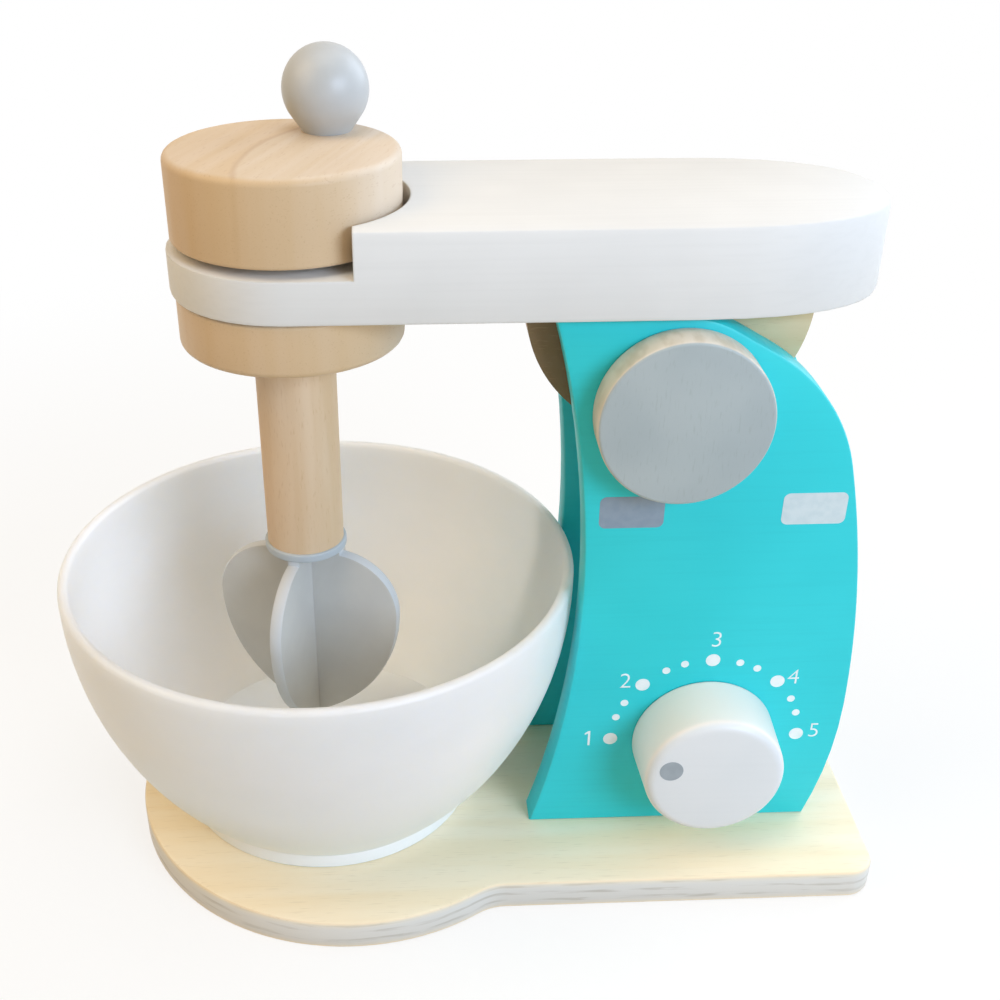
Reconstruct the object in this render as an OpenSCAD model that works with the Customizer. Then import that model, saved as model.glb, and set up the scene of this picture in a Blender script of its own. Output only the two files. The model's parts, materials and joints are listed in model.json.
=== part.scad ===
// Toy stand mixer: a wooden column carries a tilting arm, and a hand crank turns the beater in a loose bowl.
// Millimetres, +Z up, +X from the bowl to the column. The origin is the centre of the base board's underside.

/* [Base board] */
// Length of the base board
base_l = 223; // [200:1:250]
// Width of the straight part
base_w = 108; // [100:1:120]
// Thickness of the board
base_t = 10; // [6:0.5:16]
// Radius of the round end under the bowl
base_end_r = 67.5; // [62:0.5:76]
// Radius of the two corners at the column end
base_corner_r = 8; // [2:0.5:20]
// Radius of the eased edges of the board
base_round = 1.2; // [0.4:0.1:2.5]
// Radius of the hollow waist between round end and straight part
base_waist_r = 15; // [6:1:30]
// How far the beater shaft stands ahead of the round end's centre
shaft_ahead = 11.3; // [6:0.1:16]

/* [Side panels] */
// Thickness of each panel
panel_t = 10; // [8:0.5:12]
// Radius of the eased edges of each panel
panel_round = 0.9; // [0.4:0.1:2]
// Height of each panel
panel_h = 164.4; // [155:0.2:185]
// Clear space between the two panels
panel_gap = 36; // [32:0.5:40]
// How far the panel's upper front corner stands ahead of the pivot
panel_top_ahead = 32.9; // [30:0.1:36]
// How far the panel's lower front corner stands ahead of the pivot
panel_foot_ahead = 34.2; // [31:0.1:38]
// Depth of the hollow front edge
panel_hollow = 11.6; // [6:0.2:14]
// Radius of the round shoulder
shoulder_r = 53.4; // [48:0.2:58]
// How far the shoulder's centre lies below the pivot
shoulder_drop = 31; // [26:0.5:36]
// How far the belly of the rear edge stands out behind the shoulder
belly_out = 8.5; // [4:0.5:14]
// Height of the belly above the base board
belly_up = 42; // [30:1:60]
// Radius of the rear edge below the belly
belly_low_r = 131; // [90:1:200]

/* [Head] */
// Distance from the beater shaft to the pivot
reach = 99.7; // [96:0.1:110]
// Width of the arm
arm_w = 62; // [58:0.5:66]
// Thickness of the arm
arm_t = 23.7; // [18:0.1:28]
// How far the arm reaches behind the pivot
arm_behind = 54; // [48:0.5:60]
// Length of the arm's round tail
tail_l = 52; // [40:1:58]
// Fullness of the tail's corners, where 2 is an oval and more is squarer
tail_power = 2.4; // [2:0.1:4]
// Thickness of the ring that carries the drive at the arm's front end
ring_t = 11.6; // [8:0.1:14]
// Distance from the shaft to the step behind the ring
step_behind = 17.4; // [14:0.2:21]
// Radius of the eased edges of the arm
arm_round = 1.3; // [0.5:0.1:3]
// Height of the arm's underside above the pivot
pivot_drop = 25; // [24:0.1:28]
// Largest tilt of the head, in degrees
tilt_max = 30; // [24:1:36]
// Radius of the half-disc hinge block
block_r = 37; // [34:0.5:40]
// How far the block's centre lies ahead of the pivot
block_ahead = 2.4; // [0:0.2:6]
// Diameter of the pivot axle
axle_d = 12; // [8:0.5:14]
// Radius of the pivot discs
disc_r = 22.6; // [16:0.1:24]
// Thickness of the pivot discs
disc_t = 9.6; // [6:0.2:12]
// Depth of the axle's seat in each pivot disc
disc_seat = 5; // [3:0.5:5]
// Diameter of the dowels between arm and block
dowel_d = 8; // [6:0.5:10]
// Length of a dowel on each side of the joint
dowel_half = 12; // [8:0.5:14]
// Distance between the two dowels
dowel_pitch = 36; // [30:1:42]

/* [Drive] */
// Diameter of the beater shaft
shaft_d = 22; // [18:0.5:26]
// How far the shaft reaches below the arm
shaft_below = 76.5; // [70:0.5:84]
// Radius of the crank disc
crank_r = 29.8; // [27:0.2:31]
// Thickness of the crank disc
crank_t = 21.8; // [18:0.2:28]
// Depth of the shaft's seat in the crank disc
crank_seat = 15; // [8:0.5:16]
// Play between the crank disc and the arm's pocket
pocket_play = 2; // [1:0.1:3]
// Thickness of the washer between crank disc and arm
washer_t = 2; // [0.8:0.1:3]
// Radius of the washer between crank disc and arm
washer_r = 18; // [15:0.5:24]
// Radius of the disc below the arm
lower_r = 29.8; // [20:0.2:31]
// Thickness of the disc below the arm
lower_t = 14; // [8:0.5:18]
// Radius of the rounded rims of the turned discs
disc_round = 2; // [0.5:0.25:3]
// Radius of the ball on the crank disc
ball_r = 11.2; // [9:0.2:12]
// Height of the ball's centre above the crank disc
ball_up = 10.4; // [9:0.1:12]
// Angle below the ball's middle from which it narrows straight to its foot
ball_taper = 35; // [25:1:45]
// Distance of the ball from the shaft's axis
crank_throw = 19.2; // [16:0.2:20]
// Direction of the ball at rest, in degrees
crank_angle = 56; // [0:1:360]
// Diameter of the ball's peg
peg_d = 6; // [4:0.5:7]
// Depth of the peg in the ball and in the crank disc
peg_half = 9; // [6:0.5:10]

/* [Beater] */
// Radius of the ring under the shaft
collar_r = 11.8; // [11.4:0.1:14]
// Thickness of the ring under the shaft
collar_t = 2.5; // [2:0.25:6]
// Largest radius of a blade
blade_r = 28; // [24:0.5:32]
// Thickness of a blade
blade_t = 4; // [3:0.25:5]
// Radius of the eased edges of a blade
blade_round = 1; // [0.3:0.1:1.4]
// Radius of a blade's round crown
blade_crown_r = 18.5; // [15:0.5:21]
// Radius of a blade's long side
blade_side_r = 44; // [40:0.5:52]
// Radius of a blade's tip
blade_tip_r = 8; // [5:0.5:10]
// Height of a blade's neck between the ring and the crown
blade_neck = 1.6; // [0.5:0.1:4]
// Width of the tongue that seats a blade in the shaft
tongue_w = 16; // [12:0.5:17]
// Height of the tongue in the shaft
tongue_h = 10; // [6:0.5:14]
// Direction of the first blade at rest, in degrees
blade_angle = -18; // [-45:1:45]

/* [Bowl] */
// Outer radius of the rim
bowl_r = 75; // [70:0.5:76]
// Height of the bowl
bowl_h = 81.6; // [74:0.2:86]
// Thickness of the wall
bowl_wall = 3.2; // [2.4:0.1:5]
// Radius of the curved side, seen in section
bowl_side_r = 105.6; // [100:0.2:130]
// How far the widest ring lies below the rim
bowl_widest = 3.6; // [1:0.2:10]
// Radius of the foot ring
foot_r = 45.6; // [36:0.1:46]
// Height of the foot ring
foot_h = 5; // [3:0.25:6]
// Radius of the foot ring's eased outer edge
foot_round = 0.8; // [0.3:0.1:1.5]
// Width of the foot ring's resting edge
foot_w = 4; // [3:0.25:8]
// How far the bowl's axis stands behind the shaft
bowl_behind = 3.3; // [0:0.1:4]

/* [Dial] */
// Radius of the dial at the panel
dial_r = 21; // [14:0.2:24]
// Radius of the dial's face
dial_face_r = 20.2; // [13:0.2:24]
// Depth of the dial
dial_t = 19; // [12:0.5:22]
// Radius of the rounded rim of the dial's face
dial_round = 3; // [1:0.25:5]
// How far the dial stands behind the pivot
dial_behind = 16.6; // [8:0.2:20]
// Height of the dial's axis above the base board
dial_up = 31.4; // [28:0.2:50]
// Diameter of the dial's axle
dial_axle_d = 8; // [6:0.5:10]
// Depth of the axle's seat in the dial
dial_seat = 10; // [6:0.5:11]
// Diameter of the ring that keeps the dial in
dial_collar_d = 18; // [14:0.5:24]
// Thickness of the ring that keeps the dial in
dial_collar_t = 6; // [4:0.5:10]

/* [Screws] */
// Diameter of a screw's shank
screw_d = 4; // [3:0.5:5]
// Diameter of a screw's countersunk head
screw_head_d = 8; // [7:0.25:9]
// Length of a screw
screw_l = 32; // [26:1:45]
// How deep a screw's head lies under the base board's underside
screw_sunk = 0.6; // [0.2:0.1:1.5]
// Distance of the screws from the ends of a panel's foot
screw_inset = 18; // [12:1:28]

/* [Fits] */
// Space between faces that move past each other
run_gap = 0.3; // [0.2:0.05:0.6]
// Space round a pin that turns in its bore
pin_gap = 0.1; // [0.05:0.01:0.3]
// Space in a glued or driven joint
glue_gap = 0.05; // [0.02:0.01:0.1]

/* [Hidden] */
$fn = 96;
// Points closer than this count as one, and overshoot of a cut
same_point = 0.01;
over = 1;
// Segments of a long arc, of a rounded rim and of an eased edge
arc_steps = 20;
rim_steps = 5;
edge_steps = 2;

base_end_x = -base_l / 2 + base_end_r;
shaft_x = base_end_x - shaft_ahead;
pivot_x = shaft_x + reach;
panel_top_z = base_t + panel_h;
arm_z = panel_top_z + run_gap;
pivot_z = arm_z - pivot_drop;
// Panel tops and shoulder stay this far inside the path of the arm's underside
swing_r = pivot_drop - run_gap;
panel_y = panel_gap / 2;
panel_out_y = panel_y + panel_t;

panel_top_x = pivot_x - panel_top_ahead;
panel_x = pivot_x - panel_foot_ahead;
shoulder_z = pivot_z - shoulder_drop;
shoulder_x = pivot_x + (swing_r - shoulder_r + shoulder_drop * cos(tilt_max)) / sin(tilt_max);
belly_x = shoulder_x + shoulder_r + belly_out;
belly_z = base_t + belly_up;
// Rear edge above the belly: an arc upright at the belly and tangent to the shoulder
rear_dx = belly_x - shoulder_x;
rear_dz = shoulder_z - belly_z;
rear_r = (rear_dx * rear_dx + rear_dz * rear_dz - shoulder_r * shoulder_r) / (2 * belly_out);
rear_angle = atan2(rear_dz, rear_r - rear_dx);
low_angle = asin(belly_up / belly_low_r);
panel_foot_x = belly_x - belly_low_r * (1 - cos(low_angle));

tail_x = pivot_x + arm_behind - tail_l;
ledge_z = arm_z + ring_t;
block_x = pivot_x - block_ahead;
block_t = panel_gap - 2 * run_gap;
disc_y = panel_out_y + run_gap;

washer_z = ledge_z + run_gap;
crank_z = washer_z + washer_t;
crank_top_z = crank_z + crank_t;
lower_z = arm_z - run_gap - lower_t;
shaft_z = arm_z - shaft_below;
shaft_top_z = crank_z + crank_seat - glue_gap;
ball_x = shaft_x + crank_throw * cos(crank_angle);
ball_y = crank_throw * sin(crank_angle);

collar_z = shaft_z - collar_t;
blade_mid_z = collar_z - blade_neck - blade_crown_r;
// The neck is as wide as the shaft and runs down to the crown
neck_r = shaft_d / 2;
neck_angle = acos((neck_r - blade_r + blade_crown_r) / blade_crown_r);
// The tip's circle touches the two long sides from inside
tip_drop = sqrt(pow(blade_side_r - blade_tip_r, 2) - pow(blade_side_r - blade_r, 2));
tip_angle = atan2(tip_drop, blade_side_r - blade_r);
blade_low_z = blade_mid_z - tip_drop - blade_tip_r;
tongue_top_z = shaft_z + tongue_h;
lap_z = (tongue_top_z + blade_low_z) / 2;

bowl_x = shaft_x + bowl_behind;
bowl_widest_z = bowl_h - bowl_widest;
dial_x = pivot_x + dial_behind;
dial_z = base_t + dial_up;
dial_y = panel_out_y + run_gap;

beech = "#DDB98B";
plywood = "#E9DCC0";
turquoise = "#3FCFD8";
white_paint = "#F1F0EC";
grey_paint = "#B4B9BC";
cream = "#F3F1EA";
steel = "#A8A8A8";
felt = "#4A4038";

// Points of an arc about a centre, from one angle to another
function arc(centre, r, from, to, steps) =
    [for (i = [0 : steps]) centre + r * [cos(from + (to - from) * i / steps), sin(from + (to - from) * i / steps)]];

// Half section of a turned disc of radius r and height h, with rounded lower and upper rims
function turned(r, h, low, high) = concat(
    [[0, 0]],
    arc([r - low, low], low, -90, 0, rim_steps),
    arc([r - high, h - high], high, 0, 90, rim_steps),
    [[0, h]]);

// Half outline of the base board: round end, hollow waist, straight part with two round corners
function base_half() =
    let (
        waist_y = base_w / 2 + base_waist_r,
        centres = base_end_r + base_waist_r,
        waist_x = base_end_x + sqrt(centres * centres - waist_y * waist_y),
        waist_angle = atan2(waist_y, waist_x - base_end_x),
        corner = [base_l / 2 - base_corner_r, base_w / 2 - base_corner_r])
    concat(
        arc(corner, base_corner_r, 0, 90, 2 * rim_steps),
        arc([waist_x, waist_y], base_waist_r, 270, 180 + waist_angle, rim_steps),
        arc([base_end_x, 0], base_end_r, waist_angle, 180, 2 * arc_steps));

// The other half of an outline that is the same on both sides of its X axis, or of its Y axis
function mirrored(points) = [for (i = [len(points) - 1 : -1 : 0]) [points[i][0], -points[i][1]]];
function across(points) = [for (i = [len(points) - 1 : -1 : 0]) [-points[i][0], points[i][1]]];

// Outline of a panel in X and Z: foot, rear edge, shoulder, stop flat, top and hollow front edge
function panel_outline() =
    let (
        chord = [panel_top_x - panel_x, panel_h],
        half = norm(chord) / 2,
        hollow_r = (half * half + panel_hollow * panel_hollow) / (2 * panel_hollow),
        into_panel = [chord[1], -chord[0]] / norm(chord),
        hollow_centre = [panel_x, base_t] + chord / 2 + (panel_hollow - hollow_r) * into_panel,
        half_angle = asin(half / hollow_r),
        lean = atan2(into_panel[1], into_panel[0]))
    concat(
        arc([belly_x - belly_low_r, belly_z], belly_low_r, -low_angle, 0, rim_steps),
        arc([belly_x - rear_r, belly_z], rear_r, 0, rear_angle, arc_steps),
        arc([shoulder_x, shoulder_z], shoulder_r, rear_angle, 90 - tilt_max, arc_steps),
        arc([pivot_x, pivot_z], swing_r, 90 - tilt_max, 90, 2 * rim_steps),
        arc(hollow_centre, hollow_r, lean + half_angle, lean - half_angle, arc_steps));

// Outline of the arm: round front end about the shaft, full oval tail
function arm_outline() = concat(
    arc([shaft_x, 0], arm_w / 2, 90, 270, arc_steps),
    [for (i = [0 : arc_steps])
        let (a = -90 + 180 * i / arc_steps, fullness = 2 / tail_power)
        [tail_x + tail_l * pow(max(cos(a), 0), fullness),
         arm_w / 2 * sign(sin(a)) * pow(abs(sin(a)), fullness)]]);

// An outline without repeated points
function distinct(points) =
    [for (i = [0 : len(points) - 1])
        if (norm(points[i] - points[(i + len(points) - 1) % len(points)]) > same_point) points[i]];

// Middle of the box round an outline
function middle(points) =
    let (xs = [for (p = points) p[0]], ys = [for (p = points) p[1]])
    [min(xs) + max(xs), min(ys) + max(ys)] / 2;

// Unit normal on the left of the edge from a to b, which is the inside of a counter-clockwise outline
function inward(a, b) = [a[1] - b[1], b[0] - a[0]] / norm(b - a);

// An outline drawn in by a distance, with its edges kept parallel
function drawn_in(points, by) =
    let (n = len(points))
    [for (i = [0 : n - 1])
        let (
            before = inward(points[(i + n - 1) % n], points[i]),
            after = inward(points[i], points[(i + 1) % n]))
        points[i] + by * (before + after) / (1 + before * after)];

// Height and inset of each ring of a board of thickness t, whose edges are eased by radius r
function edge_rings(t, r) = concat(
    [for (i = [0 : edge_steps]) let (a = 90 * i / edge_steps) [r * (1 - cos(a)), r * (1 - sin(a))]],
    [for (i = [edge_steps : -1 : 0]) let (a = 90 * i / edge_steps) [t - r * (1 - cos(a)), r * (1 - sin(a))]]);

// Half outline of a blade in radius and height: tip, long side, crown, neck, tongue
function blade_half() = concat(
    arc([0, blade_mid_z - tip_drop], blade_tip_r, -90, -tip_angle, rim_steps),
    arc([blade_r - blade_side_r, blade_mid_z], blade_side_r, -tip_angle, 0, arc_steps),
    arc([blade_r - blade_crown_r, blade_mid_z], blade_crown_r, 0, neck_angle, arc_steps),
    [[neck_r, collar_z], [tongue_w / 2, collar_z], [tongue_w / 2, tongue_top_z]]);

// Half section of the bowl: foot ring, outside, round rim, inside, floor
function bowl_section() =
    let (
        centre = [bowl_r - bowl_side_r, bowl_widest_z],
        in_r = bowl_side_r - bowl_wall,
        rim = bowl_wall / 2,
        rim_angle = asin((bowl_h - rim - bowl_widest_z) / (bowl_side_r - rim)),
        rim_centre = centre + (bowl_side_r - rim) * [cos(rim_angle), sin(rim_angle)],
        out_angle = -asin((bowl_widest_z - foot_h) / bowl_side_r),
        floor_z = foot_h + bowl_wall,
        in_angle = -asin((bowl_widest_z - floor_z) / in_r))
    concat(
        [[0, foot_h / 2], [foot_r - foot_w, foot_h / 2], [foot_r - foot_w, 0]],
        arc([foot_r - foot_round, foot_round], foot_round, -90, 0, rim_steps),
        [[foot_r, foot_h]],
        arc(centre, bowl_side_r, out_angle, rim_angle, arc_steps),
        arc(rim_centre, rim, rim_angle, 180 + rim_angle, 2 * rim_steps),
        arc(centre, in_r, rim_angle, in_angle, arc_steps),
        [[0, floor_z]]);

// Places of the screws along a panel's foot
function screw_places() = [panel_x + screw_inset, panel_foot_x - screw_inset];

// A turned piece about Z, standing on z = 0
module turn(points) {
    rotate_extrude() polygon(points);
}

// A board that stands on z = 0, with eased edges all round. Each flat face is a fan of triangles about the
// middle of the outline, which every edge of the outline faces
module eased_board(outline, t, r) {
    points = distinct(outline);
    rings = edge_rings(t, r);
    n = len(points);
    top = (len(rings) - 1) * n;
    foot_centre = top + n;
    top_centre = foot_centre + 1;
    centre = middle(points);
    polyhedron(
        points = concat(
            [for (ring = rings, p = drawn_in(points, ring[1])) [p[0], p[1], ring[0]]],
            [for (z = [0, t]) [centre[0], centre[1], z]]),
        faces = [for (i = [0 : n - 1])
            let (j = (i + 1) % n)
            each concat(
                [[foot_centre, i, j], [top_centre, top + j, top + i]],
                [for (low = [0 : n : top - n])
                    each [[low + i, low + n + i, low + n + j], [low + i, low + n + j, low + j]]])]);
}

// A cylinder along Y from y0 to y1 at x and z
module along_y(x, z, y0, y1, d) {
    translate([x, y1, z]) rotate([90, 0, 0]) cylinder(d = d, h = y1 - y0);
}

// One countersunk screw, point up, widened by play to make its hole
module screw(play) {
    head_h = (screw_head_d - screw_d) / 2;
    translate([0, 0, screw_sunk]) {
        cylinder(d1 = screw_head_d + 2 * play, d2 = screw_d + 2 * play, h = head_h);
        cylinder(d = screw_d + 2 * play, h = screw_l - screw_d + play);
        translate([0, 0, screw_l - screw_d + play]) cylinder(d1 = screw_d + 2 * play, d2 = screw_d / 4, h = screw_d);
    }
}

// Puts its children at every screw of one panel, or of both
module at_screws(sides) {
    for (x = screw_places(), side = sides)
        translate([x, side * (panel_y + panel_t / 2), 0]) children();
}

module panel_blank(side) {
    outer_y = side < 0 ? -panel_y : panel_out_y;
    difference() {
        translate([0, outer_y, 0]) rotate([90, 0, 0]) eased_board(panel_outline(), panel_t, panel_round);
        along_y(pivot_x, pivot_z, outer_y - panel_t - over, outer_y + over, axle_d + 2 * pin_gap);
        at_screws([side]) screw(glue_gap);
    }
}

module pivot_disc() {
    difference() {
        turn(turned(disc_r, disc_t, disc_round / 4, disc_round / 2));
        translate([0, 0, -over]) cylinder(d = axle_d + 2 * glue_gap, h = disc_seat + over);
    }
}

// A blade's plate, upright through the shaft's axis, turned to its direction
module blade_plate(angle) {
    half = blade_half();
    translate([shaft_x, 0, 0]) rotate([0, 0, angle]) translate([0, blade_t / 2, 0])
        rotate([90, 0, 0]) eased_board(concat(half, across(half)), blade_t, blade_round);
}

// The slot in which the other blade is lapped, between two heights
module lap_slot(angle, z0, z1) {
    w = blade_t + 2 * glue_gap;
    translate([shaft_x, 0, z0]) rotate([0, 0, angle]) translate([-w / 2, -w, 0]) cube([w, 2 * w, z1 - z0]);
}

// The cross-shaped mortise for both blades' tongues
module tongue_cross(z0, z1) {
    w = blade_t + 2 * glue_gap;
    l = tongue_w + 2 * glue_gap;
    for (quarter = [0, 90])
        translate([shaft_x, 0, z0]) rotate([0, 0, blade_angle + quarter]) translate([-l / 2, -w / 2, 0])
            cube([l, w, z1 - z0]);
}

module base_board() {
    half = base_half();
    color(plywood) difference() {
        eased_board(concat(half, mirrored(half)), base_t, base_round);
        at_screws([-1, 1]) screw(glue_gap);
        at_screws([-1, 1]) translate([0, 0, -over]) cylinder(d = screw_head_d + 2 * glue_gap, h = screw_sunk + over);
    }
}

module front_panel() {
    color(turquoise) difference() {
        panel_blank(-1);
        along_y(dial_x, dial_z, -panel_out_y - over, -panel_y + over, dial_axle_d + 2 * pin_gap);
    }
}

module rear_panel() {
    color(turquoise) panel_blank(1);
}

module panel_screws() {
    color(steel) at_screws([-1, 1]) screw(0);
}

module hinge_block() {
    color(beech) difference() {
        translate([block_x, block_t / 2, arm_z]) rotate([90, 0, 0]) cylinder(r = block_r, h = block_t);
        translate([block_x - block_r - over, -block_t / 2 - over, arm_z])
            cube([2 * (block_r + over), block_t + 2 * over, block_r + over]);
        along_y(pivot_x, pivot_z, -block_t / 2 - over, block_t / 2 + over, axle_d + 2 * glue_gap);
        dowel_holes();
    }
}

module pivot_axle() {
    half = disc_y + disc_seat - glue_gap;
    color(beech) along_y(pivot_x, pivot_z, -half, half, axle_d);
}

module front_pivot_disc() {
    color(grey_paint) translate([pivot_x, -disc_y, pivot_z]) rotate([90, 0, 0]) pivot_disc();
}

module rear_pivot_disc() {
    color(grey_paint) translate([pivot_x, disc_y, pivot_z]) rotate([-90, 0, 0]) pivot_disc();
}

module at_dowels() {
    for (side = [-1, 1])
        translate([block_x + side * dowel_pitch / 2, 0, arm_z]) children();
}

module dowel_holes() {
    l = dowel_half + glue_gap;
    at_dowels() translate([0, 0, -l]) cylinder(d = dowel_d + 2 * glue_gap, h = 2 * l);
}

module block_dowels() {
    color(beech) at_dowels() translate([0, 0, -dowel_half]) cylinder(d = dowel_d, h = 2 * dowel_half);
}

module arm() {
    color(white_paint) difference() {
        translate([0, 0, arm_z]) eased_board(arm_outline(), arm_t, arm_round);
        translate([shaft_x, 0, ledge_z]) cylinder(r = crank_r + pocket_play, h = arm_t);
        translate([shaft_x - arm_w, -arm_w, ledge_z]) cube([arm_w + step_behind, 2 * arm_w, arm_t]);
        translate([shaft_x, 0, arm_z - over]) cylinder(d = shaft_d + 2 * pin_gap, h = arm_t + 2 * over);
        dowel_holes();
    }
}

module crank_disc() {
    color(beech) difference() {
        translate([shaft_x, 0, crank_z]) turn(turned(crank_r, crank_t, disc_round / 2, disc_round));
        translate([shaft_x, 0, crank_z - over]) cylinder(d = shaft_d + 2 * glue_gap, h = crank_seat + over);
        translate([ball_x, ball_y, crank_top_z - peg_half])
            cylinder(d = peg_d + 2 * glue_gap, h = peg_half + over);
    }
}

module thrust_washer() {
    color(felt) difference() {
        translate([shaft_x, 0, washer_z]) cylinder(r = washer_r, h = washer_t);
        translate([shaft_x, 0, washer_z - over]) cylinder(d = shaft_d + 2 * glue_gap, h = washer_t + 2 * over);
    }
}

module lower_disc() {
    color(beech) difference() {
        translate([shaft_x, 0, lower_z]) turn(turned(lower_r, lower_t, disc_round, disc_round / 2));
        translate([shaft_x, 0, lower_z - over]) cylinder(d = shaft_d + 2 * glue_gap, h = lower_t + 2 * over);
    }
}

module drive_shaft() {
    color(beech) difference() {
        translate([shaft_x, 0, shaft_z]) cylinder(d = shaft_d, h = shaft_top_z - shaft_z);
        tongue_cross(shaft_z - over, tongue_top_z + glue_gap);
    }
}

module ball_knob() {
    taper_z = ball_up - ball_r * sin(ball_taper);
    foot = ball_r * cos(ball_taper) - taper_z * tan(ball_taper);
    section = concat([[0, 0], [foot, 0]], arc([0, ball_up], ball_r, -ball_taper, 90, arc_steps));
    color(grey_paint) translate([ball_x, ball_y, crank_top_z]) difference() {
        turn(section);
        translate([0, 0, -over]) cylinder(d = peg_d + 2 * glue_gap, h = peg_half + over);
    }
}

module ball_peg() {
    h = 2 * (peg_half - glue_gap);
    color(beech) translate([ball_x, ball_y, crank_top_z - h / 2]) cylinder(d = peg_d, h = h);
}

module beater_collar() {
    color(grey_paint) difference() {
        translate([shaft_x, 0, collar_z]) turn(turned(collar_r, collar_t, disc_round / 4, disc_round / 4));
        tongue_cross(collar_z - over, shaft_z + over);
    }
}

module beater_blade_a() {
    color(grey_paint) difference() {
        blade_plate(blade_angle);
        lap_slot(blade_angle, lap_z, tongue_top_z + over);
    }
}

module beater_blade_b() {
    color(grey_paint) difference() {
        blade_plate(blade_angle + 90);
        lap_slot(blade_angle + 90, blade_low_z - over, lap_z);
    }
}

module bowl() {
    color(cream) translate([bowl_x, 0, base_t]) turn(bowl_section());
}

module dial_knob() {
    section = concat(
        [[0, 0], [dial_r, 0]],
        arc([dial_face_r - dial_round, dial_t - dial_round], dial_round, 0, 90, rim_steps),
        [[0, dial_t]]);
    color(white_paint) translate([dial_x, -dial_y, dial_z]) rotate([90, 0, 0]) difference() {
        turn(section);
        translate([0, 0, -over]) cylinder(d = dial_axle_d + 2 * glue_gap, h = dial_seat + over);
    }
}

module dial_axle() {
    inner_y = -panel_y + run_gap + dial_collar_t;
    color(beech) along_y(dial_x, dial_z, -dial_y - dial_seat + glue_gap, inner_y, dial_axle_d);
}

module dial_collar() {
    y0 = -panel_y + run_gap;
    color(beech) difference() {
        along_y(dial_x, dial_z, y0, y0 + dial_collar_t, dial_collar_d);
        along_y(dial_x, dial_z, y0 - over, y0 + dial_collar_t + over, dial_axle_d + 2 * glue_gap);
    }
}

base_board();
front_panel();
rear_panel();
panel_screws();
hinge_block();
pivot_axle();
front_pivot_disc();
rear_pivot_disc();
arm();
block_dowels();
crank_disc();
thrust_washer();
lower_disc();
drive_shaft();
ball_knob();
ball_peg();
beater_collar();
beater_blade_a();
beater_blade_b();
bowl();
dial_knob();
dial_axle();
dial_collar();
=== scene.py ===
# %% [markdown]
# # A wooden toy stand mixer
# The toy is a plywood base, two painted side panels, a white arm that tilts up, a hand crank with a beater,
# and a loose bowl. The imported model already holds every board, dowel and turned piece at its real size.
# This script gives them the looks of the real thing: veneer, beech, paint, lacquer and moulded plastic, and
# the marks printed on them.

# %% Load the frame
import json
import math

import bmesh
import bpy
from mathutils import Euler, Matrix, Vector


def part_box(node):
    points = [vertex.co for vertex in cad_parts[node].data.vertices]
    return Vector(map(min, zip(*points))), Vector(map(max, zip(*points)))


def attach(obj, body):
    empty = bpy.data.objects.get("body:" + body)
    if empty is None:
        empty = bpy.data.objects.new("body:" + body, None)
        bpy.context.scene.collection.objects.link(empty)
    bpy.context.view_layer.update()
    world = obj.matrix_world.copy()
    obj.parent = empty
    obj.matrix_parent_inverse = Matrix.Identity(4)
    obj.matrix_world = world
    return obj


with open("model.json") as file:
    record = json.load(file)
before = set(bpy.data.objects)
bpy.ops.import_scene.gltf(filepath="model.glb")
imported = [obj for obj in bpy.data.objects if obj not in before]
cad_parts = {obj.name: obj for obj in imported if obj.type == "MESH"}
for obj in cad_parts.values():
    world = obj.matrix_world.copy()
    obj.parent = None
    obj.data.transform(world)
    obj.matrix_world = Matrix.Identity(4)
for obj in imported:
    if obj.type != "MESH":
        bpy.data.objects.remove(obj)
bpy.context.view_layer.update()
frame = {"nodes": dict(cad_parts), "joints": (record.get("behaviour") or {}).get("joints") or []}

# %% [markdown]
# ## Two small helpers
# Colours are written as the hex values that a painter reads off a swatch, and shaders want linear light, so
# one function turns the first into the second. Another adds a node, fills its sockets with values or links,
# and hands the node back, so a material reads as a list of what it is made of.

# %% Helpers
MM = 0.001


def colour(code):
    """Linear RGBA of an sRGB hex value."""
    parts = [int(code[i:i + 2], 16) / 255 for i in (1, 3, 5)]
    return [c / 12.92 if c <= 0.04045 else ((c + 0.055) / 1.055) ** 2.4 for c in parts] + [1.0]


def add(tree, kind, inputs=None, **settings):
    """Adds a node, or takes one that is there, with its settings. An input is a value, a socket or a node."""
    node = kind if isinstance(kind, bpy.types.Node) else tree.nodes.new(kind)
    for key, value in settings.items():
        setattr(node, key, value)
    for name, value in (inputs or {}).items():
        socket = next(s for s in node.inputs if s.enabled and name in (s.name, s.identifier))
        if isinstance(value, bpy.types.Node):
            value = next(s for s in value.outputs if s.enabled)
        if isinstance(value, bpy.types.NodeSocket):
            tree.links.new(value, socket)
        else:
            socket.default_value = value
    return node


print("white paint in linear light:", [round(c, 3) for c in colour("#F1F0EC")])

# %% [markdown]
# ## The camera
# The photograph looks down on the toy from the front, a little from the left. A pinhole camera was fitted
# to the round rims and the straight edges, so its place is known to a few millimetres. The picture's centre
# isn't on the lens axis, which is what a crop does, so the camera gets a small shift instead of a turn.

# %% Camera
CAMERA_PLACE = Vector((-29.3, -333.6, 296.2)) * MM
CAMERA_PITCH = 0.544
CAMERA_YAW = 0.0426
LENS = 47.7
CROP_SHIFT = (0.0563, 0.0434)

camera = bpy.data.objects.new("camera", bpy.data.cameras.new("camera"))
bpy.context.scene.collection.objects.link(camera)
camera.location = CAMERA_PLACE
camera.rotation_euler = (math.pi / 2 - CAMERA_PITCH, 0, -CAMERA_YAW)
camera.data.lens = LENS
camera.data.shift_x, camera.data.shift_y = CROP_SHIFT
camera.data.clip_start = 0.01
bpy.context.scene.camera = camera
print("camera height:", round(camera.location.z, 3))

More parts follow.
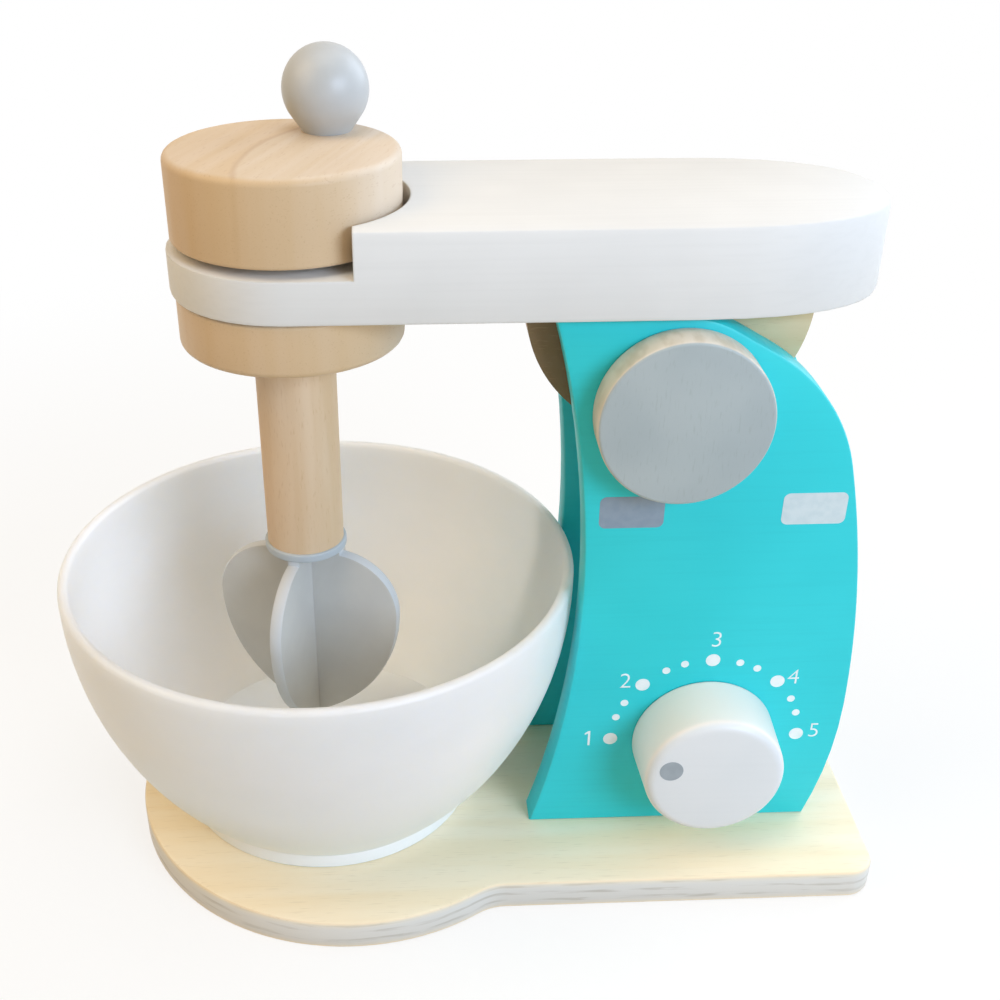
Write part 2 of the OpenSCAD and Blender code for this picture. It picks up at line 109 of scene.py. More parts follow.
# %% [markdown]
# ## Floor and light
# The toy stands on white paper among soft lamps: a low cool one in front on the right, which throws the
# shadows beside the dial and the pivot disc, two cool ones farther round to the right, one overhead and a
# warm one on the left, with a weak warm glow from the walls. The paper has to stay white and still take the
# shadow, so its shader is mostly plain light, which only the camera and mirror rays see, and for the rest
# white paper. Far from the toy it is all light, so the sheet shows no end. What the toy itself gets back
# from below is the warm light of a wooden table top, which is what warms its shaded sides.

# %% Floor, world and lamps
FLOOR_SIZE = 6.0
PAPER_GLOW = 0.74
# Metres from the toy between which the paper turns into plain light
SHADOW_REACH = (0.2, 0.55)
WALL_GLOW = 0.28
LAMP_AIM = Vector((0, 0, 0.1))
LAMPS = {
    # name: place in metres, size, watts, colour
    "key": ((0.68, -1.05, 0.62), 0.55, 10.3, "#D2E6FF"),
    "right": ((1.0, -0.8, 0.7), 0.5, 4.4, "#CCE0FF"),
    "back_right": ((1.0, 0.6, 0.7), 0.9, 8.5, "#E8F2FF"),
    "above": ((0.0, 0.0, 1.4), 1.0, 4.7, "#FCFBF8"),
    "left": ((-0.9, -0.2, 1.1), 0.9, 7.6, "#FFDEAC"),
}


def seen_directly(tree):
    """1 for a ray from the camera, a mirror or glass, which shows the background, and 0 for the rest."""
    rays = add(tree, "ShaderNodeLightPath").outputs
    seen = add(tree, "ShaderNodeMath", {"Value": rays["Is Camera Ray"], "Value_001": rays["Is Glossy Ray"]},
               operation="MAXIMUM")
    return add(tree, "ShaderNodeMath", {"Value": seen, "Value_001": rays["Is Transmission Ray"]},
               operation="MAXIMUM")


bpy.context.scene.view_settings.view_transform = "Standard"
world = bpy.data.worlds.new("studio")
bpy.context.scene.world = world
world.use_nodes = True
sky = world.node_tree
sky.nodes.clear()
seen = seen_directly(sky)
level = add(sky, "ShaderNodeMapRange", {"Value": seen, "To Min": WALL_GLOW, "To Max": 1.0})
walls = add(sky, "ShaderNodeMix", {"Factor": seen, "A": colour("#FFF6E6"), "B": (1, 1, 1, 1)},
            data_type="RGBA")
glow = add(sky, "ShaderNodeBackground", {"Color": walls, "Strength": level})
add(sky, "ShaderNodeOutputWorld", {"Surface": glow})

mesh = bpy.data.meshes.new("floor")
half = FLOOR_SIZE / 2
mesh.from_pydata([(-half, -half, 0), (half, -half, 0), (half, half, 0), (-half, half, 0)], [], [(0, 1, 2, 3)])
floor = bpy.data.objects.new("floor", mesh)
bpy.context.scene.collection.objects.link(floor)
paper = bpy.data.materials.new("white background paper")
paper.use_nodes = True
tree = paper.node_tree
tree.nodes.clear()
seen = seen_directly(tree)
reach = add(tree, "ShaderNodeVectorMath", {"Vector": add(tree, "ShaderNodeTexCoord").outputs["Object"]},
            operation="LENGTH")
shine = add(tree, "ShaderNodeMapRange",
            {"Value": reach.outputs["Value"], "From Min": SHADOW_REACH[0], "From Max": SHADOW_REACH[1],
             "To Min": PAPER_GLOW, "To Max": 1.0}, interpolation_type="SMOOTHSTEP")
share = add(tree, "ShaderNodeMath", {"Value": seen, "Value_001": shine}, operation="MULTIPLY")
tone = add(tree, "ShaderNodeMix", {"Factor": seen, "A": colour("#CFC2AC"), "B": colour("#F8F8F6")},
           data_type="RGBA")
sheet = add(tree, "ShaderNodeBsdfDiffuse", {"Color": tone})
light = add(tree, "ShaderNodeEmission", {"Color": (1, 1, 1, 1), "Strength": 1.0})
mixed = add(tree, "ShaderNodeMixShader", {"Fac": share, "Shader": sheet, "Shader_001": light})
add(tree, "ShaderNodeOutputMaterial", {"Surface": mixed})
mesh.materials.append(paper)

for name, (place, size, watts, glow_code) in LAMPS.items():
    lamp = bpy.data.objects.new("lamp_" + name, bpy.data.lights.new("lamp_" + name, "AREA"))
    bpy.context.scene.collection.objects.link(lamp)
    lamp.data.size = size
    lamp.data.energy = watts
    lamp.data.color = colour(glow_code)[:3]
    lamp.location = place
    lamp.rotation_euler = (LAMP_AIM - Vector(place)).to_track_quat("-Z", "Y").to_euler()
print("lamps:", len(LAMPS))

# %% [markdown]
# ## Smooth shading for the machined faces
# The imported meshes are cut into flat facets, and each face has its own copy of the points on its rim. On
# the real toy the turned and moulded faces are smooth and only the arrises are crisp. Welding the points
# and marking edges by their angle gives that without moving a point, and a geometry-nodes modifier does it
# without touching the mesh itself.

# %% Smoothing modifier
SMOOTH_ANGLE = math.radians(34)
WELD = 0.002 * MM

smoother = bpy.data.node_groups.new("smooth machined faces", "GeometryNodeTree")
smoother.interface.new_socket("Geometry", in_out="INPUT", socket_type="NodeSocketGeometry")
smoother.interface.new_socket("Geometry", in_out="OUTPUT", socket_type="NodeSocketGeometry")
welded = add(smoother, "GeometryNodeMergeByDistance",
             {"Geometry": add(smoother, "NodeGroupInput"), "Distance": WELD})
bare = add(smoother, "GeometryNodeRemoveAttribute", {"Geometry": welded, "Name": "custom_normal"})
round_faces = add(smoother, "GeometryNodeSetShadeSmooth", {"Geometry": bare, "Shade Smooth": True},
                  domain="FACE")
crease = add(smoother, "FunctionNodeCompare",
             {"A": add(smoother, "GeometryNodeInputMeshEdgeAngle"), "B": SMOOTH_ANGLE}, operation="LESS_THAN")
smooth = add(smoother, "GeometryNodeSetShadeSmooth", {"Geometry": round_faces, "Shade Smooth": crease},
             domain="EDGE")
add(smoother, "NodeGroupOutput", {"Geometry": smooth})

for part in frame["nodes"].values():
    part.modifiers.new("smooth", "NODES").node_group = smoother
print("smoothed:", len(frame["nodes"]))

# %% [markdown]
# ## How wood and paint are drawn
# Wood is drawn by noise that is long along the fibres and short across them. The size of the noise is given
# in millimetres, so the same function draws a veneer's streaks and a beech pore. The coordinates are the
# piece's own, so the grain stays on the piece when it moves. Which way a surface faces tells a board's face
# from its edge.

# %% Pattern helpers


def new_finish(name):
    """A material with its shader, and the tree to draw its patterns in."""
    finish = bpy.data.materials.new(name)
    finish.use_nodes = True
    return finish, finish.node_tree, finish.node_tree.nodes["Principled BSDF"]


def grain(tree, size, low, high, most=1.0, turn=(0, 0, 0), **noise):
    """Marks of a size in millimetres along turned axes: 0 where the noise is low, most where it is high."""
    place = add(tree, "ShaderNodeTexCoord").outputs["Object"]
    space = add(tree, "ShaderNodeMapping",
                {"Vector": place, "Rotation": turn, "Scale": [s * MM for s in size]}, vector_type="TEXTURE")
    cloud = add(tree, "ShaderNodeTexNoise", {"Vector": space, "Scale": 1.0, **noise})
    return add(tree, "ShaderNodeMapRange",
               {"Value": cloud, "From Min": low, "From Max": high, "To Max": most},
               interpolation_type="SMOOTHSTEP")


def facing(tree, direction, low, high, most=1.0):
    """Where the surface faces a direction or its opposite, by the cosine: 0 under low, most over high."""
    normal = add(tree, "ShaderNodeTexCoord").outputs["Normal"]
    dot = add(tree, "ShaderNodeVectorMath", {"Vector": normal, "Vector_001": direction},
              operation="DOT_PRODUCT")
    cosine = add(tree, "ShaderNodeMath", {"Value": dot.outputs["Value"]}, operation="ABSOLUTE")
    return add(tree, "ShaderNodeMapRange",
               {"Value": cosine, "From Min": low, "From Max": high, "To Max": most},
               interpolation_type="SMOOTHSTEP")


def dress(finish, *names):
    """Puts a finish on CAD pieces."""
    for name in names:
        slots = frame["nodes"][name].data.materials
        slots.clear()
        slots.append(finish)
    print(finish.name, "on", ", ".join(names))


# %% [markdown]
# ## Birch plywood
# The base is 10 mm birch plywood, sanded and clear lacquered. Rotary-cut birch is pale and nearly even,
# with faint long streaks and short fine pores. The sawn edge shows seven plies: every other one is end
# grain, which drinks the lacquer and goes darker. The face and the edge could be two materials, but the
# surface's own direction tells them apart, so one does.

# %% Birch plywood
PLY = 10 / 7


def birch_plywood():
    """Pale, even and a little warm on the face, with blotchy grey-beige bands on the edge."""
    finish, tree, shader = new_finish("birch plywood, lacquered")
    streaks = grain(tree, (110, 6, 6), 0.35, 0.7, Detail=3.0)
    face = add(tree, "ShaderNodeMix", {"Factor": streaks, "A": colour("#FDEDCE"), "B": colour("#FAE7C3")},
               data_type="RGBA")
    pores = grain(tree, (7, 0.5, 0.5), 0.6, 0.75, most=0.25, Detail=1.0)
    face = add(tree, "ShaderNodeMix", {"Factor": pores, "A": face, "B": colour("#D2BE9A")}, data_type="RGBA")
    height = add(tree, "ShaderNodeSeparateXYZ", {"Vector": add(tree, "ShaderNodeTexCoord").outputs["Object"]})
    turns = add(tree, "ShaderNodeMath", {"Value": height.outputs["Z"], "Value_001": math.pi / (PLY * MM)},
                operation="MULTIPLY")
    waver = grain(tree, (18, 18, 30), 0.2, 0.8, most=2.4)
    wave = add(tree, "ShaderNodeMath", {"Value": turns, "Value_001": waver}, operation="ADD")
    wave = add(tree, "ShaderNodeMath", {"Value": wave}, operation="SINE")
    bands = add(tree, "ShaderNodeMapRange", {"Value": wave, "From Min": -0.2, "From Max": 0.9},
                interpolation_type="SMOOTHSTEP")
    blotch = grain(tree, (13, 13, 1.6), 0.42, 0.68, most=0.8, Detail=3.0)
    plies = add(tree, "ShaderNodeMath", {"Value": bands, "Value_001": blotch}, operation="MULTIPLY")
    edge = add(tree, "ShaderNodeMix", {"Factor": plies, "A": colour("#E0DED8"), "B": colour("#C2BDB2")},
               data_type="RGBA")
    flat = facing(tree, (0, 0, 1), 0.1, 0.35)
    skin = add(tree, "ShaderNodeMix", {"Factor": flat, "A": edge, "B": face}, data_type="RGBA")
    bump = add(tree, "ShaderNodeBump", {"Height": pores, "Distance": 0.05 * MM, "Strength": 0.3}, invert=True)
    rough = add(tree, "ShaderNodeMapRange", {"Value": streaks, "To Min": 0.42, "To Max": 0.52})
    add(tree, shader, {"Base Color": skin, "Normal": bump, "Roughness": rough, "IOR": 1.5})
    return finish


dress(birch_plywood(), "base_board")

# %% [markdown]
# ## Turquoise paint
# Both panels are plywood under one sprayed coat of turquoise, rubbed to a satin. The coat is thin: the
# veneer's grain still shows as fine level lines. The arrises are painted paler, partly because the coat is
# thinnest there and partly as a painted highlight. Bump alone would give the lines, but a thin coat also
# changes colour along them, so the grain drives both.

# %% Turquoise paint


def turquoise_paint():
    """Even and clean, with faint level grain lines and a paler arris: partly thin coat, partly painted
    highlight.
    """
    finish, tree, shader = new_finish("turquoise satin paint on plywood")
    cloud = grain(tree, (45, 45, 45), 0.3, 0.7, Detail=2.0)
    coat = add(tree, "ShaderNodeMix", {"Factor": cloud, "A": colour("#21CFD6"), "B": colour("#2AD3DA")},
               data_type="RGBA")
    lines = grain(tree, (26, 8, 0.9), 0.45, 0.72, most=0.16, Detail=2.0)
    coat = add(tree, "ShaderNodeMix", {"Factor": lines, "A": coat, "B": colour("#1CC2CB")}, data_type="RGBA")
    turned = facing(tree, (0, 1, 0), 0.3, 0.5, most=0.45)
    flat = facing(tree, (0, 1, 0), 0.8, 0.97, most=0.45)
    # Painted highlight: the arrises are painted paler, partly for the thin coat there and partly for the
    # light they catch.
    thin_coat_and_highlight = add(tree, "ShaderNodeMath", {"Value": turned, "Value_001": flat}, operation="SUBTRACT")
    coat = add(tree, "ShaderNodeMix", {"Factor": thin_coat_and_highlight, "A": coat, "B": colour("#8FE3E4")}, data_type="RGBA")
    bump = add(tree, "ShaderNodeBump", {"Height": lines, "Distance": 0.04 * MM, "Strength": 0.5}, invert=True)
    rough = add(tree, "ShaderNodeMapRange", {"Value": cloud, "To Min": 0.44, "To Max": 0.52})
    add(tree, shader, {"Base Color": coat, "Normal": bump, "Roughness": rough, "IOR": 1.48})
    return finish


dress(turquoise_paint(), "front_panel", "rear_panel")

# %% [markdown]
# ## White paint
# The arm is a solid board, filled and painted white. Under the satin coat the long grain shows as the
# faintest relief, and fingers have greyed it a trace. The dial is turned and dipped, so it is smoother and
# a little glossier. Its turned side is painted a brighter, warmer white than its face: painted light, for the
# stronger light that falls on it from above, with the turquoise reflection from the panel painted out. One
# function makes both, with the grain's depth, the gloss and that side as its choices. Paint rounds every
# cut edge a little, and the Bevel node bends the light there as the round would.

# %% White paint
PAINT_ROUND = 0.7 * MM


def white_paint(name, codes, relief, rough, side=None):
    """Bright and nearly neutral, with a faint grain and an uneven satin. The side may be painted a warmer
    white as painted light.
    """
    finish, tree, shader = new_finish(name)
    lines = grain(tree, (60, 1.4, 1.4), 0.4, 0.75, most=relief, Detail=3.0)
    cloud = grain(tree, (30, 30, 30), 0.3, 0.7, Detail=2.0)
    coat = add(tree, "ShaderNodeMix", {"Factor": cloud, "A": colour(codes[0]), "B": colour(codes[1])},
               data_type="RGBA")
    coat = add(tree, "ShaderNodeMix", {"Factor": lines, "A": coat, "B": colour(codes[2])}, data_type="RGBA")
    if side:
        face = facing(tree, (0, 1, 0), 0.3, 0.8)
        coat = add(tree, "ShaderNodeMix", {"Factor": face, "A": colour(side), "B": coat}, data_type="RGBA")
    edges = add(tree, "ShaderNodeBevel", {"Radius": PAINT_ROUND}, samples=6)
    bump = add(tree, "ShaderNodeBump",
               {"Height": lines, "Distance": 0.05 * MM, "Strength": 0.6, "Normal": edges}, invert=True)
    sheen = add(tree, "ShaderNodeMapRange", {"Value": cloud, "To Min": rough - 0.04, "To Max": rough + 0.04})
    add(tree, shader, {"Base Color": coat, "Normal": bump, "Roughness": sheen, "IOR": 1.48})
    return finish


ARM_WHITE = ("#E3E3E1", "#E7E7E5", "#D6D6D4")
DIAL_WHITE = ("#DFE3E5", "#E3E6E8", "#D6DADC")
# Painted light: the dial's side is brighter and warmer than its face, for the light from above, and cancels
# the panel's turquoise reflection.
DIAL_SIDE_PAINTED_LIGHT = "#FAEFE7"
dress(white_paint("white satin paint on board", ARM_WHITE, 0.15, 0.62), "arm")
dress(white_paint("white dipped lacquer, side painted light", DIAL_WHITE, 0.1, 0.36, DIAL_SIDE_PAINTED_LIGHT), "dial_knob")

# %% [markdown]
# ## Grey stain on the pivot discs
# Only the flat faces of the two pivot discs are stained grey. The stain has sunk into the wood's pores,
# which run upright as short dark ticks, and the turned side was left as pale wood under lacquer.

# %% Grey stained discs


def stained_disc():
    """Mid grey with fine upright ticks on the face, cream wood on the side."""
    finish, tree, shader = new_finish("grey stain on turned birch")
    cloud = grain(tree, (25, 25, 25), 0.3, 0.7, Detail=2.0)
    stain = add(tree, "ShaderNodeMix", {"Factor": cloud, "A": colour("#A5B0B2"), "B": colour("#AEB8B9")},
                data_type="RGBA")
    ticks = grain(tree, (0.55, 0.55, 3.5), 0.56, 0.74, most=0.22, Detail=2.0)
    stain = add(tree, "ShaderNodeMix", {"Factor": ticks, "A": stain, "B": colour("#89938F")},
                data_type="RGBA")
    rings = grain(tree, (3, 8, 30), 0.4, 0.7, Detail=2.0)
    wood = add(tree, "ShaderNodeMix", {"Factor": rings, "A": colour("#D9D3C6"), "B": colour("#C9C1B0")},
               data_type="RGBA")
    flat = facing(tree, (0, 1, 0), 0.55, 0.85)
    skin = add(tree, "ShaderNodeMix", {"Factor": flat, "A": wood, "B": stain}, data_type="RGBA")
    bump = add(tree, "ShaderNodeBump", {"Height": ticks, "Distance": 0.06 * MM, "Strength": 0.5}, invert=True)
    add(tree, shader, {"Base Color": skin, "Normal": bump, "Roughness": 0.52, "IOR": 1.5})
    return finish


dress(stained_disc(), "front_pivot_disc", "rear_pivot_disc")

# %% [markdown]
# ## Grey lacquer
# The ball and the ring under the shaft are turned beech in light grey lacquer. The blades are cut from thin
# board in sprayed grey, and their rounded edges are painted a lighter, cooler grey than the flat sides as a
# painted highlight. A blade's sides are found by the direction they face, so each blade gets the same
# function with its own direction.

# %% Grey lacquer
BLADE_ANGLE = math.radians(-18)


def grey_lacquer(name, codes, rough, side=None):
    """A soft grey satin, slightly clouded. With a side, what faces away from it takes the third colour, a
    painted highlight.
    """
    finish, tree, shader = new_finish(name)
    cloud = grain(tree, (14, 14, 14), 0.3, 0.7, Detail=3.0)
    coat = add(tree, "ShaderNodeMix", {"Factor": cloud, "A": colour(codes[0]), "B": colour(codes[1])},
               data_type="RGBA")
    if side:
        flat = facing(tree, side, 0.6, 0.95)
        coat = add(tree, "ShaderNodeMix", {"Factor": flat, "A": colour(codes[2]), "B": coat},
                   data_type="RGBA")
    peel = grain(tree, (1.6, 1.6, 1.6), 0.2, 0.8, Detail=1.0)
    bump = add(tree, "ShaderNodeBump", {"Height": peel, "Distance": 0.02 * MM, "Strength": 0.4})
    sheen = add(tree, "ShaderNodeMapRange", {"Value": cloud, "To Min": rough - 0.05, "To Max": rough + 0.05})
    add(tree, shader, {"Base Color": coat, "Normal": bump, "Roughness": sheen, "IOR": 1.48})
    return finish


dress(grey_lacquer("light grey lacquer", ("#B8BBBB", "#BFC1C1"), 0.38), "ball_knob")
dress(grey_lacquer("blue grey lacquer", ("#B3BCC2", "#BAC2C7"), 0.42), "beater_collar")
# The blades' third colour, on their rounded edges, is a painted highlight.
for name, angle in (("beater_blade_a", BLADE_ANGLE), ("beater_blade_b", BLADE_ANGLE + math.pi / 2)):
    side = (-math.sin(angle), math.cos(angle), 0)
    dress(grey_lacquer("grey lacquer on " + name, ("#C0BFBB", "#C6C5C0", "#CED1D3"), 0.5, side), name)

# %% [markdown]
# ## Beech
# The discs, the shaft and the hidden dowels are plain beech. Turned beech shows pale tan growth bands,
# darker where the late wood lies, and short fine flecks along the fibres. The fibres' direction is the
# choice that counts: across the discs, along the dowels, level in the block under the arm. One function
# takes that direction as a turn of axes, with the bands across its X and the fibres along its Y. Where the
# fibres end in the surface the wood drinks more oil and is a deeper tan. The crank disc was cut close to
# the heart of the tree, so one side of it lies past a growth ring and is darker, and that side's darkness
# is partly painted shade. The block's left end is painted dark brown past a ring in the same way, and that
# is painted shade alone: the shade that the panels and the arm throw on it.

# %% Beech
BAND = 4.5
FLECK = (0.45, 3.2, 0.45)
END_GRAIN = "#D0B084"


def beech(name, turn, codes, heartwood_and_shade=None):
    """Warm pale tan, banded and flecked, with an oiled sheen. Past a ring it is darker: a growth ring with
    painted shade on the crank disc, painted shade alone on the block.
    """
    finish, tree, shader = new_finish(name)
    bands = grain(tree, (BAND, 90, 70), 0.32, 0.72, turn=turn, Detail=3.0, Distortion=0.15)
    wood = add(tree, "ShaderNodeMix", {"Factor": bands, "A": colour(codes[0]), "B": colour(codes[1])},
               data_type="RGBA")
    cloud = grain(tree, (22, 60, 40), 0.35, 0.7, most=0.5, turn=turn, Detail=2.0)
    wood = add(tree, "ShaderNodeMix", {"Factor": cloud, "A": wood, "B": colour(codes[1])}, data_type="RGBA")
    if heartwood_and_shade:
        pith, ring, width, code, share = heartwood_and_shade
        place = add(tree, "ShaderNodeTexCoord").outputs["Object"]
        plan = add(tree, "ShaderNodeVectorMath", {"Vector": place, "Vector_001": (1, 1, 0)},
                   operation="MULTIPLY")
        reach = add(tree, "ShaderNodeVectorMath", {"Vector": plan, "Vector_001": [c * MM for c in pith]},
                    operation="DISTANCE")
        waver = grain(tree, (14, 30, 40), 0.2, 0.8, most=1.2 * MM, turn=turn)
        past = add(tree, "ShaderNodeMath", {"Value": reach.outputs["Value"], "Value_001": waver},
                   operation="ADD")
        past = add(tree, "ShaderNodeMath", {"Value": past, "Value_001": ring * MM}, operation="SUBTRACT")
        ring_and_shade_zone = add(tree, "ShaderNodeMapRange",
                   {"Value": past, "From Min": -width * MM, "From Max": width * MM, "To Max": share},
                   interpolation_type="SMOOTHSTEP")
        wood = add(tree, "ShaderNodeMix", {"Factor": ring_and_shade_zone, "A": wood, "B": colour(code)}, data_type="RGBA")
        off = add(tree, "ShaderNodeMath", {"Value": past}, operation="ABSOLUTE")
        line = add(tree, "ShaderNodeMapRange",
                   {"Value": off, "From Max": width * MM, "To Min": 0.3, "To Max": 0.0},
                   interpolation_type="SMOOTHSTEP")
        wood = add(tree, "ShaderNodeMix", {"Factor": line, "A": wood, "B": colour(codes[2])},
                   data_type="RGBA")
    ends = facing(tree, Euler(turn).to_matrix() @ Vector((0, 1, 0)), 0.2, 0.85, most=0.75)
    wood = add(tree, "ShaderNodeMix", {"Factor": ends, "A": wood, "B": colour(END_GRAIN)}, data_type="RGBA")
    flecks = grain(tree, FLECK, 0.6, 0.76, most=0.22, turn=turn, Detail=1.0)
    wood = add(tree, "ShaderNodeMix", {"Factor": flecks, "A": wood, "B": colour(codes[2])}, data_type="RGBA")
    bump = add(tree, "ShaderNodeBump", {"Height": flecks, "Distance": 0.05 * MM, "Strength": 0.4},
               invert=True)
    rough = add(tree, "ShaderNodeMapRange", {"Value": bands, "To Min": 0.46, "To Max": 0.56})
    add(tree, shader, {"Base Color": wood, "Normal": bump, "Roughness": rough, "IOR": 1.48})
    return finish


DISC_TURN = math.radians(-20)
LOWER_TURN = math.radians(-5)
DISC_TAN = ("#DDCCB8", "#D6C1A5", "#AE8760")
DOWEL_TAN = ("#E3CAAC", "#D8BA95", "#B98F5F")
PALE = ("#E1CFAD", "#D4BE95", "#B59B70")
UPRIGHT = (math.pi / 2, 0, 0)
# Pith in millimetres, distance of the ring from it, half its width, the darker colour and its share
# The crank disc's darker side is a growth ring, and partly painted shade.
DISC_HEART_AND_SHADE = ((0, -22, 0), 66, 1.4, "#D2B285", 0.45)
# Painted shade: the hinge block's dark brown left end stands for the shade of the panels and the arm.
BLOCK_PAINTED_SHADE = ((142, 0, 0), 122, 6, "#7C623F", 0.95)
dress(beech("beech, turned across the grain", (0, 0, DISC_TURN), DISC_TAN, DISC_HEART_AND_SHADE), "crank_disc")
dress(beech("beech, turned", (0, 0, LOWER_TURN), DISC_TAN), "lower_disc")
dress(beech("beech dowel, upright", UPRIGHT, DOWEL_TAN), "drive_shaft", "block_dowels", "ball_peg")
dress(beech("beech dowel, level", (0, 0, 0), DOWEL_TAN), "pivot_axle", "dial_axle", "dial_collar")
dress(beech("pale beech, level grain, painted shade", (math.pi / 2, math.pi / 2, 0), PALE, BLOCK_PAINTED_SHADE), "hinge_block")

# %% [markdown]
# ## The moulded bowl
# The bowl is moulded white plastic with a satin skin. The wall is thin and milky, so some of the light that
# falls on it comes out on the other side and the inside is never dark. Moulding leaves a trace of waviness,
# and use leaves the finest scuffs. A clean white would look like paper, so the roughness is clouded and the
# skin waves a little. The foot ring is thick and lets no light through. Above it, where the wall faces
# down, the belly is painted a darker, cooler white as painted shade.

# %% Moulded bowl
MILKY_DEPTH = 13 * MM
FOOT_HEIGHT = 5 * MM
# Slopes of the normal between which the belly's painted shade comes in
SHADED_BELLY_SLOPE = (-0.2, -0.55)


def moulded_white():
    """Cool milky white with soft wide highlights that are never quite even, and painted shade on the belly.
    """
    finish, tree, shader = new_finish("moulded white plastic, satin")
    cloud = grain(tree, (35, 35, 20), 0.3, 0.7, Detail=3.0)
    skin = add(tree, "ShaderNodeMix", {"Factor": cloud, "A": colour("#F0F3F3"), "B": colour("#F4F6F6")},
               data_type="RGBA")
    place = add(tree, "ShaderNodeTexCoord")
    slope = add(tree, "ShaderNodeSeparateXYZ", {"Vector": place.outputs["Normal"]})
    belly_shade = add(tree, "ShaderNodeMapRange",
                {"Value": slope.outputs["Z"], "From Min": SHADED_BELLY_SLOPE[0], "From Max": SHADED_BELLY_SLOPE[1]})
    # Painted shade: where the wall faces down, the white turns darker and cooler.
    skin = add(tree, "ShaderNodeMix", {"Factor": belly_shade, "A": skin, "B": colour("#DAE7EC")}, data_type="RGBA")
    foot_top = min(corner[2] for corner in frame["nodes"]["bowl"].bound_box) + FOOT_HEIGHT
    height = add(tree, "ShaderNodeSeparateXYZ", {"Vector": place.outputs["Object"]})
    thin = add(tree, "ShaderNodeMapRange",
               {"Value": height.outputs["Z"], "From Min": foot_top, "From Max": foot_top + FOOT_HEIGHT})
    wave = grain(tree, (18, 18, 9), 0.2, 0.8, Detail=1.0)
    bump = add(tree, "ShaderNodeBump", {"Height": wave, "Distance": 0.08 * MM, "Strength": 0.4})
    rough = add(tree, "ShaderNodeMapRange", {"Value": cloud, "To Min": 0.36, "To Max": 0.46})
    add(tree, shader, {"Base Color": skin, "Normal": bump, "Roughness": rough, "IOR": 1.5,
                       "Subsurface Weight": thin, "Subsurface Radius": (1.0, 0.95, 0.85),
                       "Subsurface Scale": MILKY_DEPTH})
    return finish


dress(moulded_white(), "bowl")

# %% [markdown]
# ## Screws and washer
# Four zinc-plated screws hold the panels from below, and a dark felt washer lies under the crank disc. Zinc
# is a cool grey metal with a fine crystal mottle. Felt is a mat of wool fibres with no gloss and a soft
# sheen at its edge.

# %% Screws and washer


def zinc_steel():
    """Cool grey metal, a little mottled."""
    finish, tree, shader = new_finish("zinc plated steel")
    mottle = grain(tree, (0.9, 0.9, 0.9), 0.2, 0.8, Detail=3.0)
    rough = add(tree, "ShaderNodeMapRange", {"Value": mottle, "To Min": 0.25, "To Max": 0.45})
    skin = add(tree, "ShaderNodeMix", {"Factor": mottle, "A": colour("#A9ABAE"), "B": colour("#BFC1C3")},
               data_type="RGBA")
    add(tree, shader, {"Base Color": skin, "Metallic": 1.0, "Roughness": rough})
    return finish


def wool_felt():
    """Dark, dull and fibrous."""
    finish, tree, shader = new_finish("wool felt")
    fibres = grain(tree, (0.3, 0.3, 0.3), 0.2, 0.8, Detail=4.0)
    bump = add(tree, "ShaderNodeBump", {"Height": fibres, "Distance": 0.2 * MM, "Strength": 0.8})
    skin = add(tree, "ShaderNodeMix", {"Factor": fibres, "A": colour("#3B332C"), "B": colour("#5A4E44")},
               data_type="RGBA")
    add(tree, shader, {"Base Color": skin, "Normal": bump, "Roughness": 0.95, "Sheen Weight": 0.3})
    return finish


dress(zinc_steel(), "panel_screws")
dress(wool_felt(), "thrust_washer")

# %% [markdown]
# ## Printed marks
# The front panel is screen printed in white: a half circle of dots and the numbers 1 to 5 round the dial,
# and two plain blocks under the pivot disc, one grey and one pale. A print is a skin of ink on the paint.
# Drawing it in the panel's material would need coordinates for every mark, so each mark is a thin slab of
# ink that lies on the panel.

# %% Print helpers
INK = 0.06 * MM


def ink(name, codes):
    """Flat opaque ink that lies a trace unevenly."""
    finish, tree, shader = new_finish(name)
    cover = grain(tree, (2.5, 2.5, 2.5), 0.3, 0.7, Detail=3.0)
    skin = add(tree, "ShaderNodeMix", {"Factor": cover, "A": colour(codes[0]), "B": colour(codes[1])},
               data_type="RGBA")
    add(tree, shader, {"Base Color": skin, "Roughness": 0.5, "IOR": 1.48})
    return finish


def slab(slabs, outline, face):
    """Adds a slab of ink on a plane that faces -Y. The outline is a list of points in X and Z."""
    rings = [[slabs.verts.new((x, face + depth, z)) for x, z in outline] for depth in (-INK, INK)]
    slabs.faces.new(rings[0])
    slabs.faces.new(rings[1][::-1])
    for i, j in zip(range(len(outline)), [*range(1, len(outline)), 0]):
        slabs.faces.new((rings[0][j], rings[0][i], rings[1][i], rings[1][j]))


def lay(name, slabs, body, finish):
    """Makes a piece of the slabs and lets it ride on a body."""
    mesh = bpy.data.meshes.new(name)
    slabs.to_mesh(mesh)
    slabs.free()
    piece = bpy.data.objects.new(name, mesh)
    bpy.context.scene.collection.objects.link(piece)
    mesh.materials.append(finish)
    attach(piece, body)
    print(name, "has", len(mesh.polygons), "faces")


def print_mark(name, outlines, face, body, finish):
    """One piece of ink made of several slabs."""
    slabs = bmesh.new()
    for outline in outlines:
        slab(slabs, outline, face)
    slabs.normal_update()
    lay(name, slabs, body, finish)


def disc(x, z, r, sides=40):
    """Outline of a dot."""
    turns = [2 * math.pi * i / sides for i in range(sides)]
    return [(x + r * math.cos(a), z + r * math.sin(a)) for a in turns]


def block(x, z, width, height, r, steps=6):
    """Outline of a block with round corners."""
    points = []
    for corner, (sx, sz) in enumerate(((1, 1), (-1, 1), (-1, -1), (1, -1))):
        cx, cz = x + sx * (width / 2 - r), z + sz * (height / 2 - r)
        turns = [math.pi / 2 * (corner + i / steps) for i in range(steps + 1)]
        points += [(cx + r * math.cos(a), cz + r * math.sin(a)) for a in turns]
    return points


